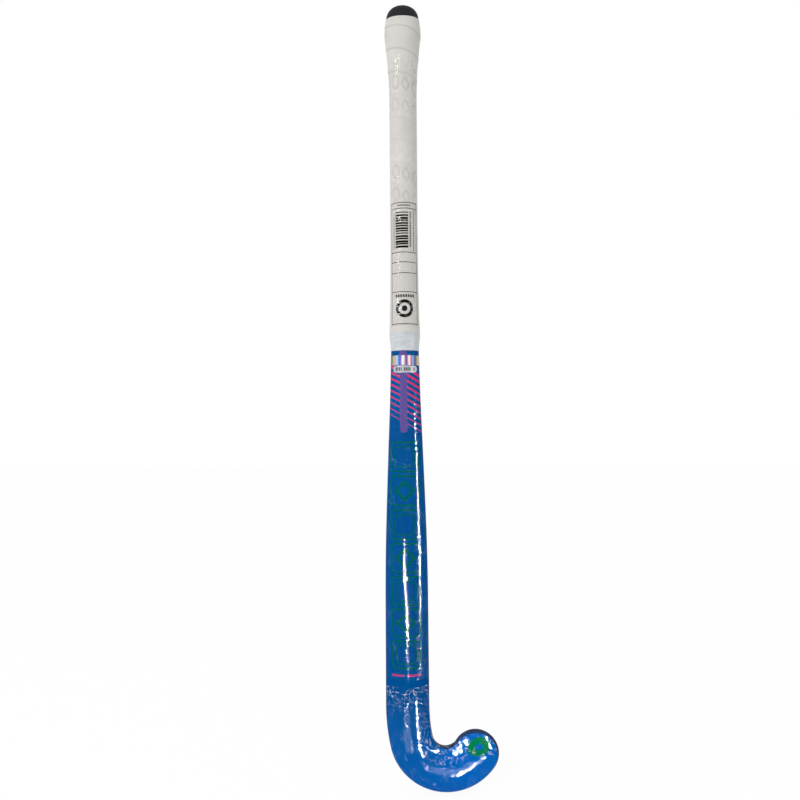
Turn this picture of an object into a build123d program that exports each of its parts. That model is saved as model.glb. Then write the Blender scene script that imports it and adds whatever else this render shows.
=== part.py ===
"""Composite field hockey stick, upright on its head.

Frame: millimetres, +Z up along the shaft, +X towards the toe, and the flat playing face looks
along +Y. The origin is under the middle of the stick's box, at the head's lowest point.

The stick is one long form: a D section, flat on the playing side and crowned on the back, that is
lofted down a bowed centre line and round the hook of the head. Every layer, from the foam core to
the shrink film, is the same form grown outwards or inwards by a named amount.
"""

import os
from math import cos, pi, radians, sin
from typing import NamedTuple

from build123d import *

# Overall
LENGTH = 889.0  # 35 inches, cap included
SHAFT_X = -40.0  # the shaft's centre line, from the middle of the box
FACE_Y = 22.5  # the playing face of the head, from the middle of the box

# Centre line of the head: a slow bend at the heel, then the hook
HEEL_RADIUS = 200.0
HEEL_TURN = 12.0
HOOK_RADIUS = 40.5
HOOK_TURN = 134.0

# Bow of the shaft away from the playing side
BOW = 20.0
BOW_FROM = 105.0  # height where the flat face of the head ends
BOW_AT = 300.0
BOW_END = 780.0  # the handle is straight above this
HANDLE_SET_BACK = 7.0  # leaves room for the flared end when the stick lies on its face
LEAD_IN = 15.0  # from the start of a curve to the section that holds its first stretch

# D section of the head
HEAD_WIDTH = 49.8
HEAD_DEPTH = 24.0
TOE_WIDTH = 53.6
TOE_DEPTH = 18.5
EDGE_REACH = 6.5  # rounding of the face's edges, across
EDGE_HEIGHT = 8.5  # the same, from the face to the widest line

# Handle
HANDLE_SIZE = 26.4  # bare, nearly round
HANDLE_FLAT = 6.0  # what is left of the flat face there
ROUND_FROM = 620.0
CAP_DOME = 11.5
RIM = LENGTH - CAP_DOME  # where the grip meets the cap
CAP_DISC = 4.0  # rubber between the laminate's mouth and the rim
LAMINATE_TOP = RIM - CAP_DISC
CAP_RADIUS = 18.3

# Flared end: the cap's skirt grows out to the knob and in again to the rim
FLARE = 5.4
FLARE_FROM = 785.0
KNOB_AT = 860.0
FLARE_AT_RIM = 3.3
FLARE_POWER = 1.7
SKIRT_LOW = 820.0
SKIRT_FIT = 0.95  # round the bare handle: clears the corners of its flat
SPIGOT_RADIUS = 5.0
SPIGOT_LENGTH = 20.0

# Laminate and what it holds
WALL = 2.3
TUBE_WALL = 1.0
PLUG_LENGTH = 30.0
CORE_TOP = 130.0
BOND = 0.2  # glue line or slip between two layers

# Grip
TAPE_LOW = 503.0
TAPE_HIGH = 524.0
GRIP_LOW = 508.0
UNDERLAY = 0.25
GRIP = 1.5
TAPE = 0.25

# Bands, sticker and label
FOIL = 0.2
HOLOGRAM_LOW = 486.8
HOLOGRAM_HIGH = 497.6
STICKER_HIGH = 486.2
STICKER_LOW = 478.6
STICKER_WIDTH = 26.0
STICKER_CORNER = 3.0
LABEL_LOW = 530.5
LABEL_HIGH = 668.0
LABEL_WIDTH = 28.4
PAPER = 0.2

# Shrink film
FILM = 0.2
HEAD_FILM_GAP = 0.2
SLEEVE_GAP = 0.8
SLEEVE_LOW = 134.0
SLEEVE_HIGH = 830.0
HEAD_FILM_TOP = 126.0

BACKWARDS = Vector(0, -1, 0)  # from the playing face to the crowned back


class Section(NamedTuple):
    """A D section's width, depth, and how far its face edges are rounded across and in depth."""

    width: float
    depth: float
    edge: float
    height: float


class Station(NamedTuple):
    """A section at its place: the plane's origin is the middle of the flat face, its X points to
    the toe side and its Y to the back."""

    plane: Plane
    section: Section


HEAD = Section(HEAD_WIDTH, HEAD_DEPTH, EDGE_REACH, EDGE_HEIGHT)
TOE = Section(TOE_WIDTH, TOE_DEPTH, EDGE_REACH, EDGE_HEIGHT)
ROUND = Section(HANDLE_SIZE, HANDLE_SIZE, (HANDLE_SIZE - HANDLE_FLAT) / 2, HANDLE_SIZE / 2)

# The head's centre line runs down the shaft, turns slowly at the heel and then round the hook
lowest_share = (90 - HEEL_TURN) / HOOK_TURN
half_width_at_base = (HEAD_WIDTH + (TOE_WIDTH - HEAD_WIDTH) * lowest_share) / 2
slow = sin(radians(HEEL_TURN))
heel_height = HEEL_RADIUS * slow + HOOK_RADIUS * (1 - slow) + half_width_at_base
with BuildLine(Plane.XZ.offset(-FACE_Y)) as centre_line:
    heel = JernArc((SHAFT_X, heel_height), (0, -1), HEEL_RADIUS, HEEL_TURN)
    hook = JernArc(heel @ 1, heel % 1, HOOK_RADIUS, HOOK_TURN)

# The bare shaft by height, from the broad D above the head to the round handle
SHAFT = (
    (heel_height, HEAD),
    (190.0, Section(48.6, 23.5, 6.5, 8.5)),
    (250.0, Section(47.4, 23.5, 6.6, 8.6)),
    (300.0, Section(45.2, 24.0, 7.0, 9.2)),
    (350.0, Section(41.8, 24.6, 7.6, 10.0)),
    (400.0, Section(38.0, 25.2, 8.4, 11.0)),
    (450.0, Section(34.0, 26.0, 9.6, 12.0)),
    (TAPE_LOW, Section(30.8, 26.6, 10.4, 12.8)),
    (TAPE_HIGH, Section(29.4, 26.6, 10.4, 13.0)),
    (560.0, Section(27.6, 26.5, 10.3, 13.2)),
    (ROUND_FROM, ROUND),
    (LAMINATE_TOP, ROUND),
)


def part_way(low, high, share):
    return low + (high - low) * share


def ease(share):
    """0 to 1 along half a cosine wave, level at both ends."""
    return (1 - cos(pi * min(max(share, 0.0), 1.0))) / 2


def bow(z):
    """How far the face stands back from the head's own face at height z."""
    if z < BOW_AT:
        return BOW * ease((z - BOW_FROM) / (BOW_AT - BOW_FROM))
    return part_way(BOW, HANDLE_SET_BACK, ease((z - BOW_AT) / (BOW_END - BOW_AT)))


def shaft_section(z):
    """The bare section at height z, between the two that are given around it."""
    below = [pair for pair in SHAFT if pair[0] <= z][-1]
    above = [pair for pair in SHAFT if pair[0] >= z][0]
    span = above[0] - below[0]
    share = (z - below[0]) / span if span else 0.0
    return Section(*(part_way(a, b, share) for a, b in zip(below[1], above[1])))


def shaft_station(z):
    """A level section at height z of the shaft or handle, entered from above."""
    place = Vector(SHAFT_X, FACE_Y - bow(z), z)
    return Station(Plane(place, x_dir=(1, 0, 0), z_dir=(0, 0, -1)), shaft_section(z))


def shaft_middle_y(z):
    """Y of the middle of the shaft's depth at height z."""
    station = shaft_station(z)
    return station.plane.origin.Y - station.section.depth / 2


def hook_station(path, share, section):
    """A section square to the head's centre line, at this share of one of its arcs."""
    heading = path % share
    return Station(Plane(path @ share, x_dir=BACKWARDS.cross(heading), z_dir=heading), section)


# Heights of the sections: close together where the form changes fast
flare_heights = [part_way(RIM, FLARE_FROM, i / 8) for i in range(9)]
shaft_heights = sorted(
    {z for z, _ in SHAFT if z > heel_height}
    | {z for z in flare_heights if z < LAMINATE_TOP}
    | {BOW_FROM + LEAD_IN, BOW_FROM + 3 * LEAD_IN, HOLOGRAM_HIGH, FLARE_FROM - LEAD_IN}
    | {part_way(FLARE_FROM, ROUND_FROM, 0.5)},
    reverse=True,
)
HEEL_STEPS = 2
HOOK_STEPS = 10
toe_station = hook_station(hook, 1.0, TOE)
head_stations = [hook_station(heel, i / HEEL_STEPS, HEAD) for i in range(HEEL_STEPS)]
for i in range(HOOK_STEPS + 1):
    share = i / HOOK_STEPS
    section = Section(*(part_way(a, b, share) for a, b in zip(HEAD, TOE)))
    head_stations.append(hook_station(hook, share, section))


def step(z):
    """0 below the grip's finishing tape, 1 above it."""
    return ease((z - TAPE_LOW) / (TAPE_HIGH - TAPE_LOW))


def flare(z):
    """Thickness of the cap's skirt at height z: it swells to the knob and rolls in to the rim."""
    if z <= FLARE_FROM:
        return 0.0
    if z <= KNOB_AT:
        return FLARE * ((z - FLARE_FROM) / (KNOB_AT - FLARE_FROM)) ** FLARE_POWER
    return FLARE - (FLARE - FLARE_AT_RIM) * ((z - KNOB_AT) / (RIM - KNOB_AT)) ** 2


def skirt_radius(z):
    """Outside of the cap's skirt, drawn in a little so that the layers over it never touch."""
    return HANDLE_SIZE / 2 + flare(z) - BOND / 2


def d_profile(section, grow):
    """One closed D, drawn with the face on the X axis and the back upwards, grown by an amount."""
    level = section.width / 2 - section.edge
    with BuildSketch() as profile:
        with BuildLine():
            Line((-level, -grow), (level, -grow))
            edge = (section.edge + grow, section.height + grow)
            back = (section.width / 2 + grow, section.depth - section.height + grow)
            EllipticalCenterArc((level, section.height), *edge, start_angle=270)
            EllipticalCenterArc((0, section.height), *back, start_angle=0)
            EllipticalCenterArc((0, section.height), *back, start_angle=90)
            EllipticalCenterArc((-level, section.height), *edge, start_angle=180)
        make_face()
    return profile.sketch


def stick_form(grow):
    """The whole bare stick, handle to toe, with its skin moved outwards by grow."""
    with BuildPart() as form:
        for station in [*map(shaft_station, shaft_heights), *head_stations]:
            with BuildSketch(station.plane):
                add(d_profile(station.section, grow))
        loft()
        # The toe's end is half of its last section, turned about the middle of that section
        with BuildSketch(toe_station.plane):
            add(d_profile(toe_station.section, grow))
            split(bisect_by=Plane.YZ, keep=Keep.BOTTOM)
        revolve(axis=Axis(toe_station.plane.origin, BACKWARDS), revolution_arc=180)
    return form.part


def between(form, low=None, high=None):
    """What a form holds above one height, below another, or between the two."""
    with BuildPart() as kept:
        add(form)
        if low is not None:
            split(bisect_by=Plane.XY.offset(low), keep=Keep.TOP)
        if high is not None:
            split(bisect_by=Plane.XY.offset(high), keep=Keep.BOTTOM)
    return kept.part


def cover_form(growth):
    """A solid over shaft and handle up to the rim, grown by growth(z) at each height."""
    with BuildPart() as form:
        for z in [RIM, *shaft_heights, heel_height]:
            bare = shaft_station(min(z, LAMINATE_TOP))
            with BuildSketch(Plane((SHAFT_X, bare.plane.origin.Y, z), (1, 0, 0), (0, 0, -1))):
                add(d_profile(bare.section, growth(z)))
        loft()
    return form.part


def cover(inside, outside, low, high):
    """One layer over the shaft or handle between two heights."""
    with BuildPart() as layer:
        add(between(cover_form(outside), low, high))
        add(cover_form(inside), mode=Mode.SUBTRACT)
    return layer.part


def over_cap(gap):
    """Growth of a layer that lies this far above the bare handle and the cap's skirt."""
    return lambda z: flare(z) + gap


def grip_inside(z):
    return flare(z) + BOND + (UNDERLAY + BOND) * step(z)


def grip_outside(z):
    return grip_inside(z) + GRIP * step(z)


def over_grip(gap):
    """Growth of a layer that lies this far above the bare shaft, or above the grip over it."""
    return lambda z: flare(z) + gap + (UNDERLAY + BOND + GRIP) * step(z)


bare_form = stick_form(0.0)
cavity_form = stick_form(-WALL)
inner_form = stick_form(-WALL - BOND)
foil_inside = stick_form(BOND)
foil_outside = stick_form(BOND + FOIL)

# Composite skin: hollow, open at the handle's end, closed round the toe
with BuildPart() as outer_laminate:
    add(bare_form)
    add(cavity_form, mode=Mode.SUBTRACT)

# Rigid foam that fills the head
with BuildPart() as head_core:
    add(between(inner_form, high=CORE_TOP))

# Two inner tubes side by side: the walls that meet stiffen the shaft from face to back
tube_low = CORE_TOP + BOND
tube_high = LAMINATE_TOP - PLUG_LENGTH - BOND
tube_bore = stick_form(-WALL - BOND - TUBE_WALL)


def inner_tube(side):
    """One half of the shaft's cavity as a tube, on the toe side (1) or the heel side (-1)."""
    keep = Keep.TOP if side > 0 else Keep.BOTTOM
    bond_face = Plane.YZ.offset(SHAFT_X + side * BOND / 2)
    with BuildPart() as bore:
        add(between(tube_bore, tube_low - TUBE_WALL))
        split(bisect_by=bond_face.offset(side * TUBE_WALL), keep=keep)
    with BuildPart() as tube:
        add(between(inner_form, tube_low, tube_high))
        split(bisect_by=bond_face, keep=keep)
        add(bore.part, mode=Mode.SUBTRACT)
    return tube


left_tube = inner_tube(-1)
right_tube = inner_tube(1)

# Foam plug in the handle's mouth, bored for the cap's spigot
mouth = shaft_station(LAMINATE_TOP)
with BuildPart() as handle_plug:
    with BuildSketch(mouth.plane):
        add(d_profile(mouth.section, -WALL - BOND))
        with Locations((0, HANDLE_SIZE / 2)):
            Circle(SPIGOT_RADIUS + BOND, mode=Mode.SUBTRACT)
    extrude(amount=PLUG_LENGTH)

# Rubber cap, all turned about the handle's middle: dome, disc over the mouth, skirt and spigot
cap_middle = Vector(SHAFT_X, mouth.plane.origin.Y - HANDLE_SIZE / 2, 0)
disc_under = LAMINATE_TOP + BOND
skirt_bore = HANDLE_SIZE / 2 + SKIRT_FIT
skirt_heights = [z for z in reversed(flare_heights) if z > SKIRT_LOW]
with BuildPart() as end_cap:
    with BuildSketch(Plane(cap_middle, (1, 0, 0), BACKWARDS)):
        with BuildLine():
            skirt = Spline(*[(skirt_radius(z), z) for z in [SKIRT_LOW, *skirt_heights]])
            Line(skirt @ 1, (CAP_RADIUS, RIM))
            shoulder = (CAP_RADIUS * cos(pi / 4), RIM + CAP_DOME * sin(pi / 4))
            Spline((CAP_RADIUS, RIM), shoulder, (0, LENGTH), tangents=((0, 1), (-1, 0)))
            Polyline(
                (0, LENGTH),
                (0, disc_under - SPIGOT_LENGTH),
                (SPIGOT_RADIUS, disc_under - SPIGOT_LENGTH),
                (SPIGOT_RADIUS, disc_under),
                (skirt_bore, disc_under),
                (skirt_bore, SKIRT_LOW),
                skirt @ 0,
            )
        make_face()
    revolve(axis=Axis(cap_middle, (0, 0, 1)))

# Double-sided tape under the grip, from the finishing tape to the rim
with BuildPart() as grip_underlay:
    add(cover(over_cap(BOND), over_cap(BOND + UNDERLAY), TAPE_HIGH, RIM - BOND))

# Cushion grip: a soft sleeve that thins out under the finishing tape
with BuildPart() as cushion_grip:
    add(cover(grip_inside, grip_outside, GRIP_LOW, RIM - BOND))

# Finishing tape over the grip's lower end
with BuildPart() as finishing_tape:
    add(cover(over_grip(2 * BOND), over_grip(2 * BOND + TAPE), TAPE_LOW, TAPE_HIGH))

# Foil band all round the shaft, just under the grip
with BuildPart() as hologram_band:
    add(between(foil_outside, HOLOGRAM_LOW, HOLOGRAM_HIGH))
    add(foil_inside, mode=Mode.SUBTRACT)

# Rounded size sticker on the back, under the band
sticker_middle = (STICKER_LOW + STICKER_HIGH) / 2
with BuildPart() as size_sticker:
    with BuildSketch(Plane((SHAFT_X, shaft_middle_y(sticker_middle), sticker_middle), (1, 0, 0), BACKWARDS)):
        RectangleRounded(STICKER_WIDTH, STICKER_HIGH - STICKER_LOW, STICKER_CORNER)
    extrude(amount=HEAD_WIDTH)
    add(foil_outside, mode=Mode.INTERSECT)
    add(foil_inside, mode=Mode.SUBTRACT)

# Retail label on the grip, wrapped round its back
label_middle = (LABEL_LOW + LABEL_HIGH) / 2
with BuildPart() as retail_label:
    add(cover(over_grip(2 * BOND), over_grip(2 * BOND + PAPER), LABEL_LOW, LABEL_HIGH))
    with BuildSketch(Plane((SHAFT_X, shaft_middle_y(label_middle), label_middle), (1, 0, 0), BACKWARDS)):
        Rectangle(LABEL_WIDTH, LABEL_HIGH - LABEL_LOW)
    extrude(amount=HEAD_WIDTH, mode=Mode.INTERSECT)

# Shrink film bag over the head
with BuildPart() as head_film:
    add(between(stick_form(HEAD_FILM_GAP + FILM), high=HEAD_FILM_TOP))
    add(stick_form(HEAD_FILM_GAP), mode=Mode.SUBTRACT)

# Shrink film sleeve from above the head to the upper grip
with BuildPart() as sleeve_film:
    add(cover(over_grip(SLEEVE_GAP), over_grip(SLEEVE_GAP + FILM), SLEEVE_LOW, SLEEVE_HIGH))

pieces = {
    "outer_laminate": outer_laminate,
    "head_core": head_core,
    "left_tube": left_tube,
    "right_tube": right_tube,
    "handle_plug": handle_plug,
    "end_cap": end_cap,
    "grip_underlay": grip_underlay,
    "cushion_grip": cushion_grip,
    "finishing_tape": finishing_tape,
    "hologram_band": hologram_band,
    "size_sticker": size_sticker,
    "retail_label": retail_label,
    "head_film": head_film,
    "sleeve_film": sleeve_film,
}
os.makedirs("parts", exist_ok=True)
for name, piece in pieces.items():
    piece.part.label = name
    export_step(piece.part, f"parts/{name}.step")
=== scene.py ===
"""Field hockey stick: the looks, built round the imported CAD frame.

The stick is one long form, a D section carried down a bowed centre line and round the hook of the
head. Every visible layer is that form, moved outwards by its own thickness and given its own
surface: lacquered laminate, wound cushion grip, tapes, foil, paper label, rubber cap and the clear
shrink film over them. Lengths are millimetres until a mesh is made.
"""

from collections import namedtuple
from functools import partial

import bmesh
import bpy
import numpy as np
from mathutils import Matrix, Quaternion, Vector


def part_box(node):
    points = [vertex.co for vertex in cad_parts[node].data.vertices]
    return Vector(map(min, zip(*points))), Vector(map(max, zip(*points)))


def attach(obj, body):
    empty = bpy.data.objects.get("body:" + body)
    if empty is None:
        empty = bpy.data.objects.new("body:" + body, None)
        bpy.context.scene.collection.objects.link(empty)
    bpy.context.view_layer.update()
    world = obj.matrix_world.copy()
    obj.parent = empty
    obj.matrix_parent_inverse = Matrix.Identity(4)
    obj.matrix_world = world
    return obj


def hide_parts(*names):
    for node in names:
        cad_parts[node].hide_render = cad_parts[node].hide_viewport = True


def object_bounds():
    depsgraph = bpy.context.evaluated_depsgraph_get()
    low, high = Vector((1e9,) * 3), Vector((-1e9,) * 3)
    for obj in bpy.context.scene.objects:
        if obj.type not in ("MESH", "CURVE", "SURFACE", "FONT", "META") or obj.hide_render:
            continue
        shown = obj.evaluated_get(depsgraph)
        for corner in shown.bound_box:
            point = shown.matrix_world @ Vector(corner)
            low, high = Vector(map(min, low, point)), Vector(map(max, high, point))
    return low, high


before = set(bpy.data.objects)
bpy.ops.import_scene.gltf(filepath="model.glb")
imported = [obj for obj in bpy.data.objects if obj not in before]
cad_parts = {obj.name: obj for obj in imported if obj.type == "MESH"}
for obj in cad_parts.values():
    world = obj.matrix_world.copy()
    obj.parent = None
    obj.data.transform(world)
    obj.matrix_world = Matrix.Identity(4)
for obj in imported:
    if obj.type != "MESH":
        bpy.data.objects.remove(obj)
cad_box = [list(corner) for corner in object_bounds()]

bl_info = {
    "name": "Field Hockey Stick",
    "version": (1, 0, 0),
    "blender": (4, 5, 0),
    "location": "3D View > Sidebar > Hockey Stick",
    "description": "Builds the finished surfaces of a composite hockey stick on its CAD frame",
    "category": "Object",
}

MM = 0.001
TOUCHING = 0.001  # mm between points that become one
CRISP = np.radians(50)  # an edge that turns by more than this stays sharp


def span(name):
    """Lowest and highest height of a CAD node, in millimetres."""
    low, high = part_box(name)
    return low.z / MM, high.z / MM


# Driving dimensions of the form, the same as the CAD part's
SHAFT_X = -40.0
FACE_Y = 22.5
HEEL_RADIUS = 200.0
HEEL_TURN = np.radians(12.0)
HOOK_RADIUS = 40.5
HOOK_TURN = np.radians(134.0)
BOW = 20.0
BOW_FROM = 105.0
BOW_AT = 300.0
BOW_END = 780.0
HANDLE_SET_BACK = 7.0
# Width, depth, edge reach and edge height of the D section
HANDLE = (26.4, 26.4, 10.2, 13.2)
HEAD = (49.8, 24.0, 6.5, 8.5)
TOE = (53.6, 18.5, 6.5, 8.5)
CAP_DOME = 11.5
CAP_RADIUS = 18.3
CAP_POWERS = (0.62, 0.9)  # of the dome's cosine and sine, which make it squarer than an ellipse
CAP_BEAD = 7.0  # from the rim down to where the skirt starts
CAP_BEAD_EDGE = ((0.1, 0.3), (6.0, 6.9))  # its rounded lower edge: how far in, and how far down
CAP_BORE = 14.15
SPIGOT_RADIUS = 5.0
SPIGOT_LENGTH = 20.0
SPIGOT_CHAMFER = 0.8
FLARE = 5.4
FLARE_FROM = 785.0
KNOB_AT = 860.0
FLARE_AT_RIM = 3.3
FLARE_POWER = 1.7
WALL = 2.3
BOND = 0.2
HANDLE_MIDDLE_Y = FACE_Y - HANDLE_SET_BACK - HANDLE[1] / 2

RIM = span("end_cap")[1] - CAP_DOME
LAMINATE_TOP = span("outer_laminate")[1]
TAPE_LOW, TAPE_HIGH = span("finishing_tape")
GRIP_LOW = span("cushion_grip")[0]
SLEEVE_LOW, SLEEVE_HIGH = span("sleeve_film")
HEAD_FILM_TOP = span("head_film")[1]
SKIRT_LOW = span("end_cap")[0]

# Inside and outside of each layer, from the bare form or from the step that the grip adds to it
GRIP_STEP = 1.95
GRIP_ON_SKIRT = (0.2, 0.6)  # at the tape, and above it
TAPE = (0.4, 0.46)
FOIL = (0.1, 0.32)
PAPER = (0.42, 0.52)
SLEEVE = (0.56, 0.7)
HEAD_FILM = (0.2, 0.35)
TAPE_TURN = 7.0  # rise of one turn of finishing tape
SEAM = 12.5  # of the film, along the skin from the crown

# Lengths down the head's two arcs, and how high the heel starts and how far the toe goes
HEEL_SINE = np.sin(HEEL_TURN)
HEEL_LENGTH = HEEL_RADIUS * HEEL_TURN
HOOK_LENGTH = HOOK_RADIUS * HOOK_TURN
BASE_WIDTH = HEAD[0] + (TOE[0] - HEAD[0]) * (np.pi / 2 - HEEL_TURN) / HOOK_TURN
HEEL_HEIGHT = HEEL_RADIUS * HEEL_SINE + HOOK_RADIUS * (1 - HEEL_SINE) + BASE_WIDTH / 2
TOE_END = HEEL_HEIGHT - HEEL_LENGTH - HOOK_LENGTH

# Height, then the section there
SHAFT = (
    (HEEL_HEIGHT, *HEAD),
    (190.0, 48.6, 23.5, 6.5, 8.5),
    (250.0, 47.4, 23.5, 6.6, 8.6),
    (300.0, 45.2, 24.0, 7.0, 9.2),
    (350.0, 41.8, 24.6, 7.6, 10.0),
    (400.0, 38.0, 25.2, 8.4, 11.0),
    (450.0, 34.0, 26.0, 9.6, 12.0),
    (TAPE_LOW, 30.8, 26.6, 10.4, 12.8),
    (TAPE_HIGH, 29.4, 26.6, 10.4, 13.0),
    (560.0, 27.6, 26.5, 10.3, 13.2),
    (620.0, *HANDLE),
    (700.0, *HANDLE),
    (RIM, *HANDLE),
)

# Columns round the section: half the flat face, one rounded edge, half the crowned back
FACE_STEPS = 6
EDGE_STEPS = 9
BACK_STEPS = 33
CROWN = FACE_STEPS + EDGE_STEPS + BACK_STEPS
PLATE_COLUMNS = 49
# Distance from one row to the next, for each layer
LAMINATE_ROWS = 2.6
GRIP_ROWS = 0.62
SLEEVE_ROWS = 1.4
HEAD_FILM_ROWS = 0.8

# Laps of the grip, in shares of one turn: a groove's half width, and its lip's place and width
LAP_GROOVE = 0.032
LAP_LIP = (0.1, 0.06)
LAP_FALL = 0.4  # of the strip from its lip to the next groove, in lips
LAP_CUT = 1.1  # depth of the groove, in lips
LAP_LEFT = 0.3  # share of their height that is left where they are pulled flat
LAP_FLAT_TO = 780.0  # up to here they are flat, and they stand out in full a rise above it
LAP_RISE = 40.0

# Outlines pressed into the grip: their pitch round it and where it starts, their half lengths,
# their middle in a turn, the heights of their rows and how far from these they fade
OUTLINE_PITCH = 13.0
OUTLINE_START = 3.0
OUTLINE_HALF = (5.6, 8.6)
OUTLINE_MIDDLE = 0.55
OUTLINE_ROWS = (795.0, 693.0)
OUTLINE_FADE = 24.0
OUTLINE_LINE = (0.82, 0.17)  # the pressed line's place and width, as shares of the half lengths

# Dashes under the frames: half their height, half the gap between them, and their thin gaps' period
DASH_HALF = 1.2
DASH_HALF_GAP = 1.5
DASH_PERIOD = 2.6

# Sticker, and the label's printing: places down it from its top edge, across it from its middle
STICKER_HALF = 13.0
STICKER_PRINT = (11.0, 2.0)  # half its width and half its height
STICKER_CORNER = 3.0
LABEL_HALF = 14.2
LABEL_EDGE = 16.2  # of the printed frame, along the paper
LABEL_LINE = 0.38  # half the width of its lines
LABEL_RULES = (1.2, 7.6, 56.5, 67.5, 79.5, 100.5, 136.0)
# Columns of small dashes: middle, half width, dash period, middle down the label, half length
LABEL_COLUMNS = (
    (7.2, 0.9, 2.1, 31.0, 20.0),
    (11.6, 0.6, 1.3, 32.0, 23.0),
    (-12.2, 0.6, 1.7, 33.0, 20.0),
)
# Rows of small dashes: middle down the label, half height, dash period, half width
LABEL_ROWS = ((4.3, 0.8, 2.4, 8.0), (105.0, 1.6, 2.8, 11.5))
LABEL_BARS = (-2.6, 7.4, 31.5, 20.5)  # middle across and half width, middle down and half length
LABEL_BAR_PITCH = 2.9
LABEL_RING_AT = 119.0
LABEL_RING = (8.2, 1.8)  # radius and half width
LABEL_DOT = 3.2

# Colours of the foil from the heel side to the toe side, and the width after which they repeat
FOIL_REPEAT = 30.0
FOIL_COLUMNS = (
    "#B9A8D6 #D9A93A #8CC4EE #2B4FA8 #6A45A0 #E6F8FA #B9828C "
    "#7D4CA8 #F6EEDA #D0308C #3CA6D8 #3B2A76 #7E8A3A"
).split()


def ease(share):
    """0 to 1 along half a cosine wave, level at both ends."""
    return (1 - np.cos(np.pi * np.clip(share, 0, 1))) / 2


def bell(distance, width):
    """1 at distance 0, falling off as a normal curve of this width."""
    return np.exp(-((distance / width) ** 2))


def bow(z):
    """How far the face stands back from the head's own face: two half cosine waves."""
    lower = BOW * ease((z - BOW_FROM) / (BOW_AT - BOW_FROM))
    upper = (HANDLE_SET_BACK - BOW) * ease((z - BOW_AT) / (BOW_END - BOW_AT))
    return lower + upper


def step(z):
    """0 below the grip's finishing tape, 1 above it."""
    return ease((z - TAPE_LOW) / (TAPE_HIGH - TAPE_LOW))


def flare(z):
    """Thickness of the cap's skirt: a power curve up to the knob, a parabola in to the rim."""
    rise = FLARE * np.clip((z - FLARE_FROM) / (KNOB_AT - FLARE_FROM), 0, 1) ** FLARE_POWER
    fall = (FLARE - FLARE_AT_RIM) * np.clip((z - KNOB_AT) / (RIM - KNOB_AT), 0, 1) ** 2
    return rise - fall


def natural_spline(knots, values, at):
    """Cubic spline through values at knots, with no curvature at its ends.

    The second derivatives solve one linear system, and each span blends its ends' values and
    second derivatives."""
    knots = np.asarray(knots, float)
    values = np.asarray(values, float)
    gap = np.diff(knots)
    inner = np.arange(1, len(knots) - 1)
    system = np.eye(len(knots))
    system[inner, inner - 1] = gap[:-1]
    system[inner, inner] = 2 * (gap[:-1] + gap[1:])
    system[inner, inner + 1] = gap[1:]
    slope = np.diff(values, axis=0) / gap[:, None]
    bend = np.zeros_like(values)
    bend[1:-1] = 6 * np.diff(slope, axis=0)
    bend = np.linalg.solve(system, bend)
    k = np.clip(np.searchsorted(knots, at) - 1, 0, len(gap) - 1)
    past, left, g = (at - knots[k])[:, None], (knots[k + 1] - at)[:, None], gap[k][:, None]
    curved = (bend[k] * left**3 + bend[k + 1] * past**3) / (6 * g)
    from_below = (values[k] / g - bend[k] * g / 6) * left
    from_above = (values[k + 1] / g - bend[k + 1] * g / 6) * past
    return curved + (from_below + from_above)


def sections(v):
    """Width, depth, edge reach and edge height of the D at each v.

    v is the height on the shaft, and below the heel it goes on down the head's centre line."""
    table = np.array(SHAFT)
    shaft = natural_spline(table[:, 0], table[:, 1:], np.maximum(v, HEEL_HEIGHT))
    round_hook = np.clip((HEEL_HEIGHT - HEEL_LENGTH - v) / HOOK_LENGTH, 0, 1)[:, None]
    head = np.array(HEAD) + (np.array(TOE) - np.array(HEAD)) * round_hook
    return np.where((v >= HEEL_HEIGHT)[:, None], shaft, head)


def centre_line(v):
    """Middle of the flat face at each v, and the angle that the line has turned there.

    A straight line down the bowed shaft, then two arcs, from their sines and cosines."""
    down = np.clip(HEEL_HEIGHT - v, 0, HEEL_LENGTH + HOOK_LENGTH)
    heel = np.clip(down, 0, HEEL_LENGTH) / HEEL_RADIUS
    hook = np.clip(down - HEEL_LENGTH, 0, HOOK_LENGTH) / HOOK_RADIUS
    aside_at_heel = HEEL_RADIUS * (1 - np.cos(heel))
    aside_at_hook = HOOK_RADIUS * (np.cos(HEEL_TURN) - np.cos(HEEL_TURN + hook))
    x = SHAFT_X + aside_at_heel + aside_at_hook
    sunk = HEEL_RADIUS * np.sin(heel) + HOOK_RADIUS * (np.sin(HEEL_TURN + hook) - HEEL_SINE)
    z = np.maximum(v, HEEL_HEIGHT) - sunk
    return np.stack([x, FACE_Y - bow(z), z], -1), heel + hook


def d_profile(section, grow):
    """Across and depth of a closed D: a line, two quarter ellipses and their mirror image.

    Columns run from the middle of the flat face round the toe side to the crown, and back."""
    width, depth, edge, height = (part[:, None] for part in section.T)
    grow = grow[:, None]
    level = width / 2 - edge
    share = np.linspace(0, 1, FACE_STEPS + 1)
    turn = np.linspace(0, np.pi / 2, EDGE_STEPS + 1)[1:]
    crown = np.linspace(0, np.pi / 2, BACK_STEPS + 1)[1:]
    across = [
        level * share,
        level + (edge + grow) * np.sin(turn),
        (width / 2 + grow) * np.cos(crown),
    ]
    inwards = [
        share * 0 - grow,
        height - (height + grow) * np.cos(turn),
        height + (depth - height + grow) * np.sin(crown),
    ]
    half_across = np.concatenate(across, 1)
    half_inwards = np.concatenate(inwards, 1)
    full_across = np.concatenate([half_across, -half_across[:, -2:0:-1]], 1)
    return full_across, np.concatenate([half_inwards, half_inwards[:, -2:0:-1]], 1)


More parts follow.
